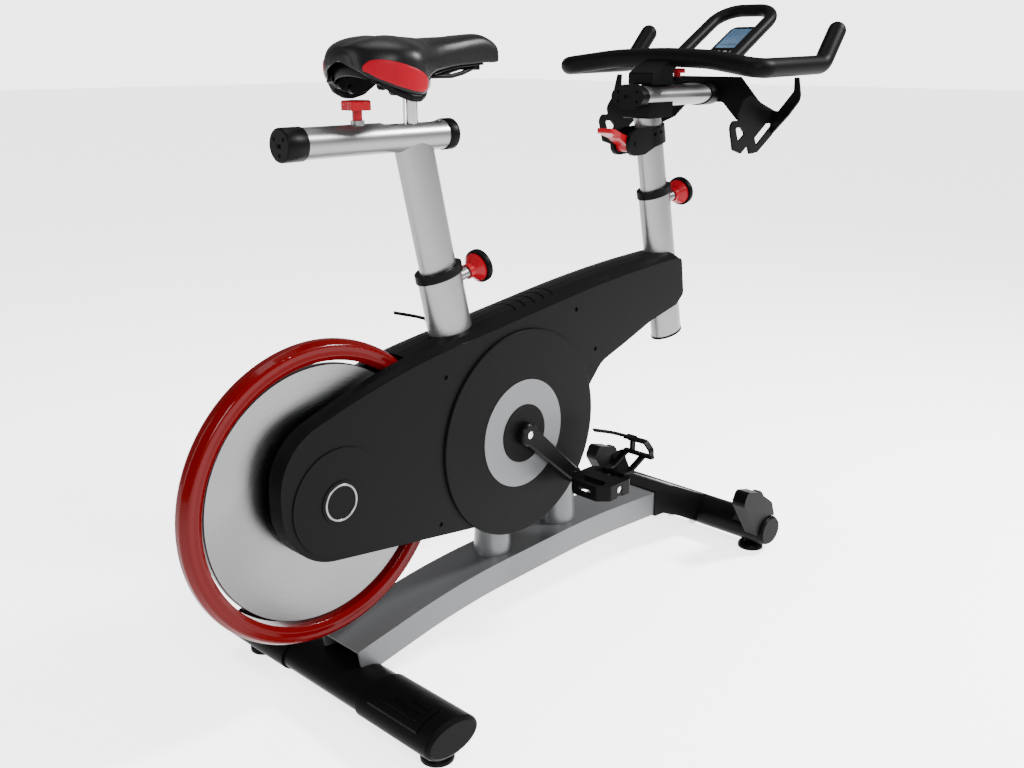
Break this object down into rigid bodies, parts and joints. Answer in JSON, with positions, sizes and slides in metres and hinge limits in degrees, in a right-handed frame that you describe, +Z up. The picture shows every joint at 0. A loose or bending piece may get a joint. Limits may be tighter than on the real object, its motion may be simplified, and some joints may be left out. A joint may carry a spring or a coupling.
{
  "type": "indoor spin bike",
  "caption": "Indoor spin bike: guarded rim flywheel at the rear, belt drive in a slim cover, leaning seat and handlebar posts, arched base on cross tubes.",
  "frame": {"origin": "middle of the bike's length and width, on the floor", "axes": "+X forward towards the handlebar, +Y the rider's left, +Z up"},
  "size_m": [1.4106, 0.538, 1.13],
  "materials": {
    "silver_paint": "satin",
    "silver_tube": "satin",
    "black_paint": "satin",
    "black_rubber": "matte",
    "black_plastic": "satin",
    "charcoal_plastic": "satin",
    "guard_red": "gloss",
    "knob_red": "gloss",
    "flywheel_steel": "brushed",
    "trim_silver": "satin",
    "dark_steel": "satin",
    "bright_steel": "polished",
    "belt_rubber": "matte",
    "saddle_vinyl": "satin",
    "display_glass": "gloss",
    "key_grey": "satin"
  },
  "bodies": {
    "frame": {"base_beam": "silver_paint", "main_frame": "silver_paint", "post_sleeves": "silver_tube", "sleeve_collars": "black_plastic", "rear_stabilizer": "black_paint", "front_stabilizer": "black_paint", "end_caps": "black_rubber", "wheel_housings": "black_plastic", "stabilizer_bolts": "bright_steel", "drive_cover_right": "charcoal_plastic", "drive_cover_left": "charcoal_plastic", "cover_plates": "charcoal_plastic", "trim_rings": "trim_silver", "guard_ring": "guard_red", "bearings": "bright_steel", "drive_belt": "belt_rubber"},
    "flywheel": {"flywheel": "flywheel_steel", "flywheel_pulley": "dark_steel"},
    "crank": {"crank_spindle": "bright_steel", "crank_arm_right": "dark_steel", "crank_arm_left": "dark_steel", "drive_pulley": "dark_steel", "pedal_spindles": "bright_steel"},
    "pedal_right": {"pedal_right": "black_plastic", "toe_clip_right": "black_plastic"},
    "pedal_left": {"pedal_left": "black_plastic", "toe_clip_left": "black_plastic"},
    "brake_caliper": {"brake_caliper": "trim_silver"},
    "seat_post": {"seat_post": "silver_tube", "seat_slider_tube": "silver_tube", "seat_tube_caps": "black_plastic"},
    "saddle": {"saddle_carriage": "bright_steel", "saddle_rails": "bright_steel", "saddle_base": "black_plastic", "saddle_cushion": "saddle_vinyl"},
    "seat_clamp_knob": {"seat_clamp_knob": "knob_red"},
    "seat_pin_knob": {"seat_pin_knob": "knob_red"},
    "head_post": {"head_post": "silver_tube", "head_slider_tube": "silver_tube", "head_tube_fittings": "black_plastic", "lever_bracket": "black_plastic", "bottle_holder": "black_plastic"},
    "head_pin_knob": {"head_pin_knob": "knob_red"},
    "resistance_lever": {"resistance_lever": "knob_red"},
    "handlebar": {"handlebar": "black_rubber", "aero_loop": "black_rubber", "handlebar_carriage": "black_plastic", "console": "black_plastic", "console_lens": "display_glass"},
    "handlebar_clamp_knob": {"handlebar_clamp_knob": "knob_red"},
    "transport_wheel_right": {"transport_wheel_right": "black_plastic"},
    "transport_wheel_left": {"transport_wheel_left": "black_plastic"},
    "foot_rear_left": {"foot_rear_left": "black_rubber"},
    "foot_rear_right": {"foot_rear_right": "black_rubber"},
    "foot_front_left": {"foot_front_left": "black_rubber"},
    "foot_front_right": {"foot_front_right": "black_rubber"},
    "console_key_1": {"console_key_1": "key_grey"},
    "console_key_2": {"console_key_2": "key_grey"},
    "console_key_3": {"console_key_3": "key_grey"},
    "console_key_4": {"console_key_4": "key_grey"}
  },
  "joints": [
    {"name": "flywheel_spin", "type": "hinge", "parent": "frame", "child": "flywheel", "pos_m": [-0.46, 0, 0.379], "axis": [0, 1, 0], "continuous": true},
    {"name": "crank_spin", "type": "hinge", "parent": "frame", "child": "crank", "pos_m": [-0.057, 0, 0.388], "axis": [0, 1, 0], "continuous": true},
    {"name": "right_pedal_spin", "type": "hinge", "parent": "crank", "child": "pedal_right", "pos_m": [0.07032, -0.132, 0.27535], "axis": [0, 1, 0], "continuous": true},
    {"name": "left_pedal_spin", "type": "hinge", "parent": "crank", "child": "pedal_left", "pos_m": [-0.18432, 0.132, 0.50065], "axis": [0, 1, 0], "continuous": true},
    {"name": "seat_post_slide", "type": "slide", "parent": "frame", "child": "seat_post", "axis": [-0.225, 0, 0.9744], "range_m": [-0.08, 0.1]},
    {"name": "saddle_fore_aft", "type": "slide", "parent": "seat_post", "child": "saddle", "axis": [1, 0, 0], "range_m": [-0.045, 0.045]},
    {"name": "seat_clamp_turn", "type": "hinge", "parent": "seat_post", "child": "seat_clamp_knob", "pos_m": [-0.356, 0, 0.939], "axis": [0, 0, 1], "range_deg": [-180, 180]},
    {"name": "seat_pin_pull", "type": "slide", "parent": "frame", "child": "seat_pin_knob", "axis": [0.9744, 0, 0.225], "range_m": [0, 0.012], "stiffness_N_per_m": 400, "springref_m": -0.005},
    {"name": "head_post_slide", "type": "slide", "parent": "frame", "child": "head_post", "axis": [-0.2036, 0, 0.979], "range_m": [-0.06, 0.1]},
    {"name": "head_pin_pull", "type": "slide", "parent": "frame", "child": "head_pin_knob", "axis": [0.979, 0, 0.2036], "range_m": [0, 0.012], "stiffness_N_per_m": 400, "springref_m": -0.005},
    {"name": "handlebar_fore_aft", "type": "slide", "parent": "head_post", "child": "handlebar", "axis": [1, 0, 0], "range_m": [-0.015, 0.035]},
    {"name": "handlebar_clamp_turn", "type": "hinge", "parent": "handlebar", "child": "handlebar_clamp_knob", "pos_m": [0.44, 0, 0.988], "axis": [0, 0, 1], "range_deg": [-180, 180]},
    {"name": "resistance_lever_turn", "type": "hinge", "parent": "head_post", "child": "resistance_lever", "pos_m": [0.287, 0, 0.868], "axis": [0, -1, 0], "range_deg": [0, 40]},
    {"name": "brake_caliper_turn", "type": "hinge", "parent": "frame", "child": "brake_caliper", "pos_m": [-0.23524, 0, 0.35538], "axis": [0, -1, 0], "range_deg": [0, 4]},
    {"name": "right_wheel_spin", "type": "hinge", "parent": "frame", "child": "transport_wheel_right", "pos_m": [0.509, -0.199, 0.124], "axis": [0, 1, 0], "continuous": true},
    {"name": "left_wheel_spin", "type": "hinge", "parent": "frame", "child": "transport_wheel_left", "pos_m": [0.509, 0.199, 0.124], "axis": [0, 1, 0], "continuous": true},
    {"name": "foot_rear_left_turn", "type": "hinge", "parent": "frame", "child": "foot_rear_left", "pos_m": [-0.433, 0.231, 0], "axis": [0, 0, 1], "continuous": true},
    {"name": "foot_rear_right_turn", "type": "hinge", "parent": "frame", "child": "foot_rear_right", "pos_m": [-0.433, -0.231, 0], "axis": [0, 0, 1], "continuous": true},
    {"name": "foot_front_left_turn", "type": "hinge", "parent": "frame", "child": "foot_front_left", "pos_m": [0.545, 0.174, 0], "axis": [0, 0, 1], "continuous": true},
    {"name": "foot_front_right_turn", "type": "hinge", "parent": "frame", "child": "foot_front_right", "pos_m": [0.545, -0.174, 0], "axis": [0, 0, 1], "continuous": true},
    {"name": "console_key_1_press", "type": "slide", "parent": "handlebar", "child": "console_key_1", "axis": [0.5, 0, -0.866], "range_m": [0, 0.001], "stiffness_N_per_m": 250, "springref_m": -0.0008},
    {"name": "console_key_2_press", "type": "slide", "parent": "handlebar", "child": "console_key_2", "axis": [0.5, 0, -0.866], "range_m": [0, 0.001], "stiffness_N_per_m": 250, "springref_m": -0.0008},
    {"name": "console_key_3_press", "type": "slide", "parent": "handlebar", "child": "console_key_3", "axis": [0.5, 0, -0.866], "range_m": [0, 0.001], "stiffness_N_per_m": 250, "springref_m": -0.0008},
    {"name": "console_key_4_press", "type": "slide", "parent": "handlebar", "child": "console_key_4", "axis": [0.5, 0, -0.866], "range_m": [0, 0.001], "stiffness_N_per_m": 250, "springref_m": -0.0008}
  ],
  "couplings": [
    {"joint": "crank_spin", "follows": "flywheel_spin", "ratio": 0.30769},
    {"joint": "brake_caliper_turn", "follows": "resistance_lever_turn", "ratio": 0.1}
  ]
}
